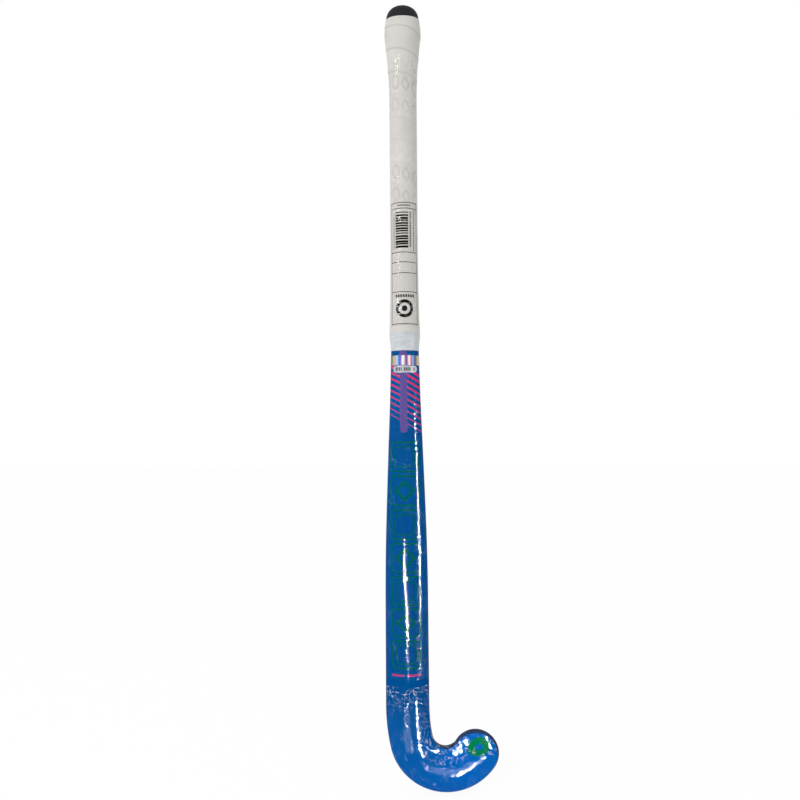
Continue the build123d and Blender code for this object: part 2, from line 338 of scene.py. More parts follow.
def girth(across, inwards):
    """Length along the section from the crown to each column, positive on the toe side.

    One column more than the section has, so that a pattern meets itself at the closing column."""
    pace = np.hypot(np.diff(across[:, : CROWN + 1]), np.diff(inwards[:, : CROWN + 1]))
    total = np.cumsum(pace[:, ::-1], 1)[:, ::-1]
    half = np.concatenate([total, total[:, :1] * 0], 1)
    return np.concatenate([half, -half[:, -2::-1]], 1)


# A grid of points on the form, the length across and along it for its pattern, and how far each
# point lies in from the flat face
Skin = namedtuple("Skin", "points across along inwards")


def skin(v, grow, toe_steps=0):
    """The form's surface at each v, moved outwards by grow.

    Each row is the D section set square to the centre line. With toe steps, the two halves of the
    last section turn about its middle until they meet at the tip."""
    v = np.asarray(v, float)
    grow = np.broadcast_to(np.asarray(grow, float), v.shape)
    middle, turned = centre_line(v)
    across, inwards = d_profile(sections(v), grow)
    lean = np.zeros_like(v)
    if toe_steps:
        extra = np.arange(1, toe_steps + 1)
        lean = np.concatenate([lean, extra / toe_steps * np.pi / 2])
        middle, turned, across, inwards = (
            np.concatenate([part, np.repeat(part[-1:], toe_steps, 0)])
            for part in (middle, turned, across, inwards)
        )
        v = np.concatenate([v, v[-1] - extra / toe_steps * TOE[0] / 2])
    side = across * np.cos(lean)[:, None]
    ahead = np.abs(across) * np.sin(lean)[:, None]
    cos, sin = np.cos(turned)[:, None], np.sin(turned)[:, None]
    x = middle[:, :1] + side * cos + ahead * sin
    y = middle[:, 1:2] - inwards
    z = middle[:, 2:] + side * sin - ahead * cos
    inwards_closed = np.concatenate([inwards, inwards[:, :1]], 1)
    along = np.repeat(v[:, None], inwards_closed.shape[1], 1)
    return Skin(np.stack([x, y, z], -1), girth(across, inwards), along, inwards)


def outward(points):
    """Unit normals of a closed skin, from the cross product of its steps along and across."""
    along = np.gradient(points, axis=0)
    across = np.roll(points, -1, 1) - np.roll(points, 1, 1)
    normal = np.cross(across, along)
    size = np.linalg.norm(normal, axis=-1, keepdims=True)
    return normal / np.maximum(size, 1e-9)


def raised(surface, amount):
    """The same skin with each point moved along its normal by amount, away from the middle."""
    normal = outward(surface.points)
    centre = surface.points.mean(axis=1, keepdims=True)
    facing = np.sign(np.sum(normal * (surface.points - centre), axis=-1).mean())
    return surface._replace(points=surface.points + normal * facing * amount[..., None])


def ripple(size, seed, *coordinates):
    """Smooth uneven waves between -1 and 1, about this size in mm: a sum of seeded sines."""
    random = np.random.default_rng(seed)
    waves = 5
    total = 0
    for wave in range(waves):
        pull = random.normal(size=len(coordinates))
        pull *= (1 + 0.35 * wave) * 2 * np.pi / size / np.linalg.norm(pull)
        phase = random.uniform(0, 2 * np.pi)
        total = total + np.sin(sum(p * c for p, c in zip(pull, coordinates)) + phase)
    return total / waves


def grid_faces(rows, columns, close_rows=False, close_columns=True):
    """Four corners of every quad in a grid, closed round its columns or rows where asked."""
    r = np.arange(rows if close_rows else rows - 1)[:, None]
    c = np.arange(columns if close_columns else columns - 1)[None]
    r1, c1 = (r + 1) % rows, (c + 1) % columns
    corners = [r * columns + c, r * columns + c1, r1 * columns + c1, r1 * columns + c]
    return np.stack(corners, -1).reshape(-1, 4)


def grid_corners(values, close_rows=False):
    """A value for every quad's four corners, from a grid with one closing column."""
    if close_rows:
        values = np.concatenate([values, values[:1]])
    corners = [values[:-1, :-1], values[:-1, 1:], values[1:, 1:], values[1:, :-1]]
    return np.stack(corners, -1).reshape(-1)


def build(name, points, faces, across=None, along=None, inwards=None, merge=False):
    """A finished mesh object: metres, faces outwards, smooth with sharp rims, pattern in UVs."""
    mesh = bpy.data.meshes.new(name)
    mesh.from_pydata((points.reshape(-1, 3) * MM).tolist(), [], faces.tolist())
    if across is not None:
        layer = mesh.uv_layers.new(name="Surface")
        layer.data.foreach_set("uv", np.stack([across, along], -1).astype(np.float32).ravel())
    if inwards is not None:
        depth = mesh.attributes.new("from_face", "FLOAT", "POINT")
        depth.data.foreach_set("value", inwards.astype(np.float32).ravel())
    shape = bmesh.new()
    shape.from_mesh(mesh)
    if merge:
        bmesh.ops.remove_doubles(shape, verts=shape.verts, dist=MM * TOUCHING)
    if shape.calc_volume(signed=True) < 0:
        bmesh.ops.reverse_faces(shape, faces=shape.faces)
    shape.to_mesh(mesh)
    shape.free()
    mesh.polygons.foreach_set("use_smooth", np.ones(len(mesh.polygons), bool))
    mesh.set_sharp_from_angle(angle=CRISP)
    mesh.validate()
    piece = bpy.data.objects.new(name, mesh)
    bpy.context.scene.collection.objects.link(piece)
    return piece


def mark(piece, name, values):
    """Stores a value for each point of a piece's outer skin, its first points, and 0 elsewhere."""
    marks = piece.data.attributes.new(name, "FLOAT", "POINT")
    every = np.zeros(len(piece.data.vertices), np.float32)
    every[: values.size] = values.ravel()
    marks.data.foreach_set("value", every)


def sleeve_of(name, outer, inner):
    """A tube with walls: the outer skin up and the inner skin down, closed both ways."""
    points = np.concatenate([outer.points, inner.points[::-1]])
    across = np.concatenate([outer.across, inner.across[::-1]])
    along = np.concatenate([outer.along, inner.along[::-1]])
    inwards = np.concatenate([outer.inwards, inner.inwards[::-1]])
    faces = grid_faces(*points.shape[:2], close_rows=True)
    pattern = grid_corners(across, True), grid_corners(along, True)
    return build(name, points, faces, *pattern, inwards)


def bag_of(name, outer, inner):
    """A skin with walls, open at its first row and closed round the toe at its last."""
    rows, columns = outer.points.shape[:2]
    inner_rows = inner.points.shape[0]
    start = rows * columns
    mouth = np.arange(columns)
    after = (mouth + 1) % columns
    ring = np.stack([mouth, start + mouth, start + after, after], -1)
    faces = np.concatenate(
        [grid_faces(rows, columns), grid_faces(inner_rows, columns)[:, ::-1] + start, ring]
    )

    def corners(name):
        """One coordinate for the corners of the outer, inner and ring faces, in their order."""
        out, within = getattr(outer, name), getattr(inner, name)
        turned = grid_corners(within).reshape(-1, 4)[:, ::-1].ravel()
        lip = np.stack([out[0, :-1], within[0, :-1], within[0, 1:], out[0, 1:]], -1).ravel()
        return np.concatenate([grid_corners(out), turned, lip])

    points = np.concatenate([outer.points.reshape(-1, 3), inner.points.reshape(-1, 3)])
    inwards = np.concatenate([outer.inwards.ravel(), inner.inwards.ravel()])
    return build(name, points, faces, corners("across"), corners("along"), inwards, merge=True)


def plate_of(name, v, half_width, low, high):
    """A thin plate wrapped over the back between low and high, as wide as half_width each side.

    Across is the arc of the back ellipse out to the angle whose sine reaches the half width."""
    width, depth, _, height = (part[:, None] for part in sections(v).T)
    middle, _ = centre_line(v)
    layers = []
    for grow in (np.asarray(high)[:, None], np.asarray(low)[:, None]):
        reach = np.arcsin(np.clip(half_width[:, None] / (width / 2 + grow), 0, 1))
        angle = np.linspace(-1, 1, PLATE_COLUMNS) * reach
        x = middle[:, :1] + (width / 2 + grow) * np.sin(angle)
        y = middle[:, 1:2] - height - (depth - height + grow) * np.cos(angle)
        layers.append(np.stack([x, y, np.repeat(v[:, None], angle.shape[1], 1)], -1))
    outer, inner = layers
    pace = np.linalg.norm(np.diff(outer, axis=1), axis=-1)
    across = np.concatenate([pace[:, :1] * 0, np.cumsum(pace, 1)], 1)
    middle_column = PLATE_COLUMNS // 2
    across -= across[:, middle_column : middle_column + 1]
    ring = np.concatenate([outer, inner[:, ::-1]], 1)
    rows, columns = ring.shape[:2]
    ends = []
    left = np.arange(columns // 2 - 1)
    for row, order in ((0, 1), (rows - 1, -1)):
        quad = np.stack([left, left + 1, columns - 2 - left, columns - 1 - left], -1)
        ends.append((quad + row * columns)[:, ::-order])
    faces = np.concatenate([grid_faces(rows, columns), *ends])
    flat_across = np.concatenate([across, across[:, ::-1]], 1).ravel()
    flat_along = np.repeat(v[:, None], columns, 1).ravel()
    return build(name, ring, faces, flat_across[faces].ravel(), flat_along[faces].ravel())


# Materials


def linear(hex_colour):
    """Linear RGBA of an sRGB hex colour."""
    srgb = np.array([int(hex_colour[i : i + 2], 16) / 255 for i in (1, 3, 5)])
    low = srgb / 12.92
    high = ((srgb + 0.055) / 1.055) ** 2.4
    return (*np.where(srgb <= 0.04045, low, high).tolist(), 1.0)


def add(tree, kind, *values, out=0, into=None, **settings):
    """Adds one node with its settings and links, and returns one of its outputs.

    Values go to its sockets in order and those of into by name. One that is a socket is linked."""
    made = tree.nodes.new("ShaderNode" + kind)
    for name, value in settings.items():
        setattr(made, name, value)
    for key, value in [*enumerate(values), *(into or {}).items()]:
        if isinstance(value, bpy.types.NodeSocket):
            tree.links.new(value, made.inputs[key])
        else:
            made.inputs[key].default_value = value
    return made.outputs[out] if made.outputs else made


def material(name):
    """A new material with no nodes, and the function that adds nodes to it."""
    made = bpy.data.materials.new(name)
    made.use_nodes = True
    made.node_tree.nodes.clear()
    return made, partial(add, made.node_tree)


def painted(node, base, *layers):
    """A base colour with each layer's colour painted over it where the layer's mask is 1."""
    colour = base
    for mask, paint in layers:
        colour = node("Mix", mask, into={6: colour, 7: paint}, out=2, data_type="RGBA")
    return colour


def on_skin(node):
    """Across and along the skin in millimetres, from the piece's own UVs."""
    uv = node("UVMap", uv_map="Surface")
    return node("SeparateXYZ", uv), node("SeparateXYZ", uv, out=1)


def grain(node, period, detail=3.0):
    """Noise on the object with this period in millimetres, along each axis or the same for all."""
    periods = np.broadcast_to(period, 3)
    place = node("TexCoord", out="Object")
    scaled = node("Mapping", place, into={"Scale": (1 / MM / periods).tolist()})
    return node("TexNoise", into={"Vector": scaled, "Scale": 1.0, "Detail": detail})


def both(node, *masks):
    """1 where every mask is 1: their product."""
    joint = masks[0]
    for mask in masks[1:]:
        joint = node("Math", joint, mask, operation="MULTIPLY")
    return joint


def any_of(node, *masks):
    """The strongest of the masks."""
    most = masks[0]
    for mask in masks[1:]:
        most = node("Math", most, mask, operation="MAXIMUM")
    return most


def repeats(node, value, period, share):
    """Stripes: 1 over the last share of every period, where the remainder passes the rest."""
    turns = node("Math", value, period, operation="DIVIDE")
    past = node("Math", turns, operation="FRACT")
    return node("Math", past, 1 - share, operation="GREATER_THAN")


def patch(node, x, x_at, x_half, y, y_at, y_half):
    """1 inside an upright rectangle with this middle and these half lengths."""
    beside = node("Math", x, x_at, x_half, operation="COMPARE")
    return both(node, beside, node("Math", y, y_at, y_half, operation="COMPARE"))


def first_of(node, number, count):
    """1 where a whole number is one of the first count from 0, so near the middle of their run."""
    last = count - 1
    return node("Math", number, last / 2, last / 2 + 0.1, operation="COMPARE")


def slanting_bars(node, axis, along, prints):
    """Bars down the shaft at an equal pitch, each thinner than the last, straight from the back."""
    pitch = prints.bar_pitch / MM
    place = node("SeparateXYZ", node("TexCoord", out="Object"))
    beside = node("Math", place, 1 / MM, -SHAFT_X, operation="MULTIPLY_ADD")
    x = node("Math", beside, axis, operation="SUBTRACT")
    top = node("Math", x, -prints.bar_slope, prints.bar_top / MM, operation="MULTIPLY_ADD")
    fallen = node("Math", top, along, operation="SUBTRACT")
    rank = node("Math", fallen, pitch, operation="DIVIDE")
    number = node("Math", rank, operation="FLOOR")
    thinning, thickest = prints.bar_thinning / MM / pitch, prints.bar_width / MM / pitch
    thickness = node("Math", number, -thinning, thickest, operation="MULTIPLY_ADD")
    bar = node("Math", node("Math", rank, operation="FRACT"), thickness, operation="LESS_THAN")
    return both(node, bar, first_of(node, number, prints.bar_count))


def centre_stripe(node, x, along, prints):
    """A stripe with a round lower end: the distance to its middle line is under half its width."""
    half = prints.stripe_width / 2 / MM
    below = node("Math", prints.stripe_low / MM + half, along, operation="SUBTRACT")
    below = node("Math", below, 0.0, operation="MAXIMUM")
    reach = node("VectorMath", node("CombineXYZ", x, below), out=1, operation="LENGTH")
    return node("Math", reach, half, operation="LESS_THAN")


def framed_column(node, x, along, prints):
    """A column of plain rounded frames, filled in turn by a second frame and by a lozenge.

    A frame is a line at one distance from a rounded rectangle: the length of the corner offset's
    positive part, less the corner's radius. A lozenge is a line where two shares add up to one."""
    length = prints.frame_length / MM
    line = prints.line_width / 2 / MM
    half = np.array([prints.frame_width / 2 / MM, length / 2 - prints.frame_gap / MM / 2])
    corner = prints.frame_corner / MM
    fallen = node("Math", prints.frame_top / MM, along, operation="SUBTRACT")
    rank = node("Math", fallen, length, operation="DIVIDE")
    share = node("Math", rank, operation="FRACT")
    y = node("Math", share, length, -length / 2, operation="MULTIPLY_ADD")
    offset = node("VectorMath", node("CombineXYZ", x, y), operation="ABSOLUTE")

    def rounded(inset, half_line):
        """A line along a rounded rectangle, this far inside the frame."""
        past = node("VectorMath", offset, (*(half - corner - inset), 1.0), operation="SUBTRACT")
        past = node("VectorMath", past, (0.0, 0.0, 0.0), operation="MAXIMUM")
        reach = node("VectorMath", past, out=1, operation="LENGTH")
        return node("Math", reach, corner - line, half_line, operation="COMPARE")

    points = half * prints.lozenge_share
    lozenge = node("VectorMath", offset, (*(1 / points), 0.0), out=1, operation="DOT_PRODUCT")
    lozenge = node("Math", lozenge, 1.0, 2 * line / points.min(), operation="COMPARE")
    odd = repeats(node, rank, 2.0, 0.5)
    even = node("Math", 1.0, odd, operation="SUBTRACT")
    second = both(node, rounded(prints.frame_inset / MM, 0.7 * line), even)
    drawn = any_of(node, rounded(0.0, line), second, both(node, lozenge, odd))
    number = node("Math", rank, operation="FLOOR")
    return both(node, drawn, first_of(node, number, prints.frame_count))


def broken_dashes(node, x, along, prints):
    """Two plain dashes side by side, broken by thin gaps."""
    line = patch(node, x, 0.0, prints.frame_width / 2 / MM, along, prints.dash_at / MM, DASH_HALF)
    split = node("Math", x, -DASH_HALF_GAP, DASH_HALF_GAP, operation="COMPARE")
    beside_split = node("Math", 1.0, split, operation="SUBTRACT")
    return both(node, line, beside_split, repeats(node, x, DASH_PERIOD, 0.68))


def oval_ring(node, prints):
    """A ring: the distance from its middle, as a share of its half lengths, is 0.32 to 1."""
    place = node("TexCoord", out="Object")
    turn = (0, prints.ring_turn, 0)
    own_axes = {"Location": prints.ring_place, "Rotation": turn, "Scale": prints.ring_size}
    spot = node("Mapping", place, into=own_axes, vector_type="TEXTURE")
    flat = node("VectorMath", spot, (1.0, 0.0, 1.0), operation="MULTIPLY")
    reach = node("VectorMath", flat, out=1, operation="LENGTH")
    return node("Math", reach, 0.66, 0.34, operation="COMPARE")


def lacquered_laminate(colours, prints):
    """Glass and carbon laminate, printed, then sprayed with clear polyurethane lacquer."""
    # The lacquer makes the printed blue deep and even. Its own gloss is faint, because the film
    # shrunk over it takes most of the light
    made, node = material("Polyurethane lacquer, sprayed over printed laminate")
    across, along = on_skin(node)
    drift, start = -prints.axis_drift, prints.axis_at_base / MM
    axis = node("Math", along, drift, start, operation="MULTIPLY_ADD")
    x = node("Math", across, axis, operation="SUBTRACT")
    # The blue is brightest round the toe and deepens up to 110 mm above the heel
    up_shaft = node("MapRange", along, -20.0, 110.0)
    # A faint mottle 60 mm long, as the sprayed colour coat leaves it
    cloud = node("MapRange", grain(node, 60.0), 0.35, 0.75, 0.0, 0.25)
    from_face = node("Attribute", out="Fac", attribute_name="from_face")
    edge = prints.dark_edge / MM
    playing_side = node("MapRange", from_face, edge + 0.4, edge - 0.4)
    colour = painted(
        node,
        colours.head,
        (up_shaft, colours.shaft),
        (cloud, colours.cloud),
        (framed_column(node, x, along, prints), colours.frames),
        (slanting_bars(node, axis, along, prints), colours.bars),
        (centre_stripe(node, x, along, prints), colours.stripe),
        (broken_dashes(node, x, along, prints), colours.bars),
        (oval_ring(node, prints), colours.ring),
        (playing_side, colours.face),
    )
    # Orange peel with a period of 6 mm, as sprayed lacquer has
    peel = grain(node, 6.0, 2.0)
    peeled = node("Bump", into={"Strength": 0.6, "Distance": 0.00006, "Height": peel})
    finish = {
        "Base Color": colour,
        "Roughness": 0.4,
        "IOR": 1.5,
        "Specular IOR Level": 0.0,
        "Coat Weight": 0.006,
        "Coat Roughness": 0.02,
        "Coat Normal": peeled,
    }
    node("OutputMaterial", node("BsdfPrincipled", into=finish))
    return made


def cast_grip(colours):
    """Polyurethane foam strip, cast on cloth and embossed."""
    # Soft and matt, a little darker in its grooves and pressed outlines, where shade is painted in
    made, node = material("Polyurethane grip, cast and embossed")
    # Pores every 1.6 mm: drawn larger than the real 0.5 mm, which would be too fine to show
    place = node("Mapping", node("TexCoord", out="Object"), into={"Scale": [1 / MM / 1.6] * 3})
    pores = node("MapRange", node("TexVoronoi", into={"Vector": place, "Scale": 1.0}), 0.12, 0.3)
    # A faint mottle from handling, 22 mm across as the strip is wide
    mottle = node("MapRange", grain(node, 22.0, 4.0), 0.35, 0.75)
    # Painted shade: the grooves and pressed outlines are darkened as if in their own shadow
    groove = node("Attribute", out="Fac", attribute_name="groove")
    shades = (mottle, colours.grip_shade), (groove, colours.grip_groove_shade)
    colour = painted(node, colours.grip, *shades)
    dimpled = node("Bump", into={"Strength": 0.35, "Distance": 0.0001, "Height": pores})
    finish = {
        "Base Color": colour,
        "Roughness": 0.6,
        "IOR": 1.48,
        "Specular IOR Level": 0.1,
        "Normal": dimpled,
    }
    node("OutputMaterial", node("BsdfPrincipled", into=finish))
    return made


def cap_rubber(colours):
    """SBR rubber, moulded in a spark-eroded tool."""
    # Near black and satin: its fine grain is painted lighter, a faint grey sheen that stands in for
    # the light the grain catches
    made, node = material("SBR rubber, moulded satin")
    # Grain of 0.9 mm, coarser than the real 0.1 mm so that it shows
    grain_sheen = grain(node, 0.9)
    # Painted sheen: the lighter grain is mixed into the rubber's colour
    colour = painted(node, colours.cap, (node("MapRange", grain_sheen, 0.35, 0.65), colours.cap_grain_sheen))
    grained = node("Bump", into={"Strength": 0.4, "Distance": 0.00015, "Height": grain_sheen})
    finish = {
        "Base Color": colour,
        "Roughness": 0.6,
        "IOR": 1.52,
        "Specular IOR Level": 0.12,
        "Normal": grained,
    }
    node("OutputMaterial", node("BsdfPrincipled", into=finish))
    return made


def stretched_tape(colours):
    """PVC finishing tape, stretched as it is wound."""
    # Cooler and smoother than the grip, with faint stretch lines round it
    made, node = material("PVC tape, calendered and stretched")
    # Stretch lines 2.2 mm apart, each about 14 mm long
    stretch = grain(node, (14.0, 14.0, 2.2))
    colour = painted(node, colours.tape, (node("MapRange", stretch, 0.35, 0.7), colours.tape_shade))
    lined = node("Bump", into={"Strength": 0.5, "Distance": 0.0004, "Height": stretch})
    finish = {
        "Base Color": colour,
        "Roughness": 0.35,
        "IOR": 1.53,
        "Specular IOR Level": 0.3,
        "Normal": lined,
    }
    node("OutputMaterial", node("BsdfPrincipled", into=finish))
    return made


def diffraction_foil():
    """Polyester film, embossed with a grating and metallised."""
    # It splits white light into upright columns of strong colours over a fine square pattern
    made, node = material("Polyester foil, embossed grating")
    across, along = on_skin(node)
    # The columns waver by 0.4 mm to each side over 9 mm of height
    sway = node("Math", grain(node, (2.0, 2.0, 9.0)), 0.8, -0.4, operation="MULTIPLY_ADD")
    moved = node("Math", across, sway, operation="ADD")
    moved = node("Math", moved, FOIL_REPEAT, operation="DIVIDE")
    share = node("Math", node("Math", moved, 0.5, operation="ADD"), operation="FRACT")
    colours = node("ValToRGB", share)
    strip = colours.node.color_ramp
    strip.interpolation = "CARDINAL"
    strip.elements.remove(strip.elements[1])
    strip.elements[0].position = 0.5 / len(FOIL_COLUMNS)
    strip.elements[0].color = linear(FOIL_COLUMNS[0])
    for i, tone in enumerate(FOIL_COLUMNS[1:], 1):
        strip.elements.new((i + 0.5) / len(FOIL_COLUMNS)).color = linear(tone)
    # Squares of 0.9 mm, coarser than the real 0.1 mm so that they show
    squares = node("TexChecker", node("CombineXYZ", across, along), into={"Scale": 1 / 0.9}, out=1)
    bright = node("Math", squares, 0.12, operation="MULTIPLY")
    colour = painted(node, colours, (bright, linear("#F4F6F8")))
    finish = {"Base Color": colour, "Metallic": 0.3, "Roughness": 0.3, "Specular IOR Level": 0.2}
    node("OutputMaterial", node("BsdfPrincipled", into=finish))
    return made


def silver_sticker(colours):
    """Polyester sticker, silvered and screen printed."""
    # Pale satin with faint upright streaks, and plain dark ticks in uneven groups
    made, node = material("Polyester sticker, silvered satin")
    across, along = on_skin(node)
    # Streaks 1.1 mm wide and 16 mm tall, wider than the real 0.2 mm so that they show
    brushed = node("MapRange", grain(node, (1.1, 1.1, 16.0)), 0.3, 0.7)
    low, high = span("size_sticker")
    wave = node("Math", node("Math", across, 0.62, operation="MULTIPLY"), operation="SINE")
    grouped = node("Math", wave, -0.7, operation="GREATER_THAN")
    half_width, half_height = STICKER_PRINT
    field = patch(node, across, 0.0, half_width, along, (low + high) / 2, half_height)
    ticks = both(node, repeats(node, across, 1.9, 0.62), grouped, field)
    colour = painted(node, colours.silver, (brushed, colours.silver_shade), (ticks, colours.ink))
    finish = {"Base Color": colour, "Metallic": 0.2, "Roughness": 0.35, "Specular IOR Level": 0.2}
    node("OutputMaterial", node("BsdfPrincipled", into=finish))
    return made


def label_paper(colours):
    """Coated paper, offset printed with plain rules, bars, rows of dashes and a ring."""
    # Even warm white, a little mottled by its fibres, with soft creases that catch the light
    made, node = material("Coated paper, offset printed")
    across, along = on_skin(node)
    down = node("Math", span("retail_label")[1], along, operation="SUBTRACT")
    from_middle = node("Math", across, operation="ABSOLUTE")
    ink = node("Math", from_middle, LABEL_EDGE, LABEL_LINE, operation="COMPARE")
    for rule in LABEL_RULES:
        ink = any_of(node, ink, node("Math", down, rule, LABEL_LINE, operation="COMPARE"))
    # Plain bars down the label, each as thick as its own random number says
    turns = node("Math", down, LABEL_BAR_PITCH, operation="DIVIDE")
    number = node("Math", turns, operation="FLOOR")
    chance = node("TexWhiteNoise", into={"W": number}, noise_dimensions="1D")
    thickness = node("Math", chance, 0.5, 0.4, operation="MULTIPLY_ADD")
    bars = node("Math", node("Math", turns, operation="FRACT"), thickness, operation="LESS_THAN")
    middle, half, start, reach = LABEL_BARS
    field = patch(node, across, middle, half, down, start, reach)
    ink = any_of(node, ink, both(node, bars, field))
    for middle, half, period, start, reach in LABEL_COLUMNS:
        column = patch(node, across, middle, half, down, start, reach)
        ink = any_of(node, ink, both(node, column, repeats(node, down, period, 0.62)))
    for start, half, period, reach in LABEL_ROWS:
        row = patch(node, across, 0.0, reach, down, start, half)
        ink = any_of(node, ink, both(node, row, repeats(node, across, period, 0.66)))
    # A plain ring with a dot, in the lowest box
    below_ring = node("Math", down, LABEL_RING_AT, operation="SUBTRACT")
    reach = node("VectorMath", node("CombineXYZ", across, below_ring), out=1, operation="LENGTH")
    ring = node("Math", reach, *LABEL_RING, operation="COMPARE")
    ink = any_of(node, ink, ring, node("Math", reach, LABEL_DOT, operation="LESS_THAN"))
    within = node("Math", across, 0.0, LABEL_EDGE + LABEL_LINE, operation="COMPARE")
    printed = both(node, ink, within)
    # Clumps of fibre 2 mm across, and creases 8 mm across the label and 16 mm down it
    fibres = node("MapRange", grain(node, 2.0, 4.0), 0.4, 0.8)
    colour = painted(node, colours.paper, (fibres, colours.paper_shade), (printed, colours.ink))
    creases = grain(node, (8.0, 8.0, 16.0))
    creased = node("Bump", into={"Strength": 0.5, "Distance": 0.0006, "Height": creases})
    finish = {"Base Color": colour, "Roughness": 0.6, "Specular IOR Level": 0.05, "Normal": creased}
    node("OutputMaterial", node("BsdfPrincipled", into=finish))
    return made


def shrink_film(name, mirror, pleats, depth, folds):
    """PVC film, blown and heat shrunk, pleated with these periods in mm and this depth in metres.

    Its Fresnel share is scaled by mirror, and a folded line's whole share is folds."""
    # Nearly invisible, but a bright light breaks on it into jagged white streaks and sparks
    made, node = material(name)
    pleating = grain(node, pleats, 0.0)
    pleated = node("Bump", into={"Strength": 1.0, "Distance": depth, "Height": pleating})
    share = node("Fresnel", into={"IOR": 1.5, "Normal": pleated})
    # Only the outer skin mirrors: seen from behind, the inner one would mirror at every low angle
    front = node("Math", 1.0, node("NewGeometry", out="Backfacing"), operation="SUBTRACT")
    share = both(node, share, front, mirror)
    # Folds where film is gathered: hairlines round 6 mm patches of a noise, broken every 1.7 mm
    hairline = node("Math", grain(node, 6.0, 4.0), 0.5, 0.02, operation="COMPARE")
    broken = node("Math", grain(node, 1.7, 2.0), 0.52, operation="GREATER_THAN")
    gathered = node("Attribute", out="Fac", attribute_name="gathered")
    folded = both(node, hairline, broken, gathered)
    share = node("Math", folded, folds, share, operation="MULTIPLY_ADD")
    white = linear("#FFFFFF")
    clear = node("BsdfTransparent", white)
    lustre = {"Color": white, "Roughness": 0.14, "Normal": pleated}
    shine = node("BsdfGlossy", into=lustre, distribution="BECKMANN")
    node("OutputMaterial", node("MixShader", share, clear, shine))
    return made


def shows_white(node):
    """1 for the eye and for what gloss and film show of the room, 0 for the light it gives."""
    rays = ("Is Camera Ray", "Is Glossy Ray", "Is Transmission Ray")
    return any_of(node, *(node("LightPath", out=ray) for ray in rays))


def hidden_finish(name, light, dark, periods, roughness, depth):
    """A layer inside the stick: two tones of one material, with its own grain in millimetres."""
    made, node = material(name)
    texture = grain(node, periods, 4.0)
    colour = painted(node, linear(light), (node("MapRange", texture, 0.35, 0.65), linear(dark)))
    relief = node("Bump", into={"Strength": 1.0, "Distance": depth, "Height": texture})
    finish = {"Base Color": colour, "Roughness": roughness, "Normal": relief}
    node("OutputMaterial", node("BsdfPrincipled", into=finish))
    return made


# What a user may change


def length(name, description, millimetres):
    """A length property with its default in millimetres."""
    return bpy.props.FloatProperty(
        name=name,
        description=description,
        default=millimetres * MM,
        precision=4,
        unit="LENGTH",
        subtype="DISTANCE",
    )


def ratio(name, description, default):
    """A plain number."""
    return bpy.props.FloatProperty(name=name, description=description, default=default, precision=3)


def count(name, description, default):
    """A whole number of repeats, at least one."""
    return bpy.props.IntProperty(name=name, description=description, default=default, min=1)


def paint(name, description, hex_colour):
    """A colour property whose default is an sRGB hex value."""
    return bpy.props.FloatVectorProperty(
        name=name,
        description=description,
        default=linear(hex_colour),
        size=4,
        min=0.0,
        max=1.0,
        subtype="COLOR",
    )


class StickColours(bpy.types.PropertyGroup):
    """Colours of the stick."""

    shaft: paint("Shaft", "Blue lacquer of the shaft", "#004F94")
    head: paint("Head", "Brighter blue round the toe", "#006CCC")
    cloud: paint("Cloud", "Paler blue mottle in the lacquer", "#0068B4")
    bars: paint("Bars", "Slanting bars and dashes", "#D23C78")
    stripe: paint("Stripe", "Centre stripe", "#64549C")
    frames: paint("Frames", "Outlined frames on the shaft", "#00664A")
    ring: paint("Ring", "Oval ring on the toe", "#00885A")
    face: paint("Playing side", "Dark slate of the playing side", "#2E3E5C")
    grip: paint("Grip", "Cushion grip", "#DCD8D3")
    grip_shade: paint("Grip shade", "Darker mottle of the grip", "#D0CCC6")
    # Painted shade for the grip's grooves and pressed outlines
    grip_groove_shade: paint("Grip groove", "Shading in the grip's grooves", "#C6C2BD")
    cap: paint("Cap", "Rubber cap", "#1C1A20")
    # Painted sheen: a lighter grain standing in for light caught by the rubber
    cap_grain_sheen: paint("Cap bloom", "Lighter grain of the rubber", "#29272D")
    tape: paint("Tape", "Finishing tape", "#D2D7DA")
    tape_shade: paint("Tape shade", "Stretch lines of the tape", "#C4CACE")
    silver: paint("Silver", "Size sticker", "#C6C8CE")
    silver_shade: paint("Silver shade", "Darker streaks of the sticker", "#A6A8B0")
    paper: paint("Paper", "Retail label", "#D6D2CC")
    paper_shade: paint("Paper shade", "Darker mottle of the paper", "#C8C4BD")
    ink: paint("Ink", "Printing on label and sticker", "#08080A")


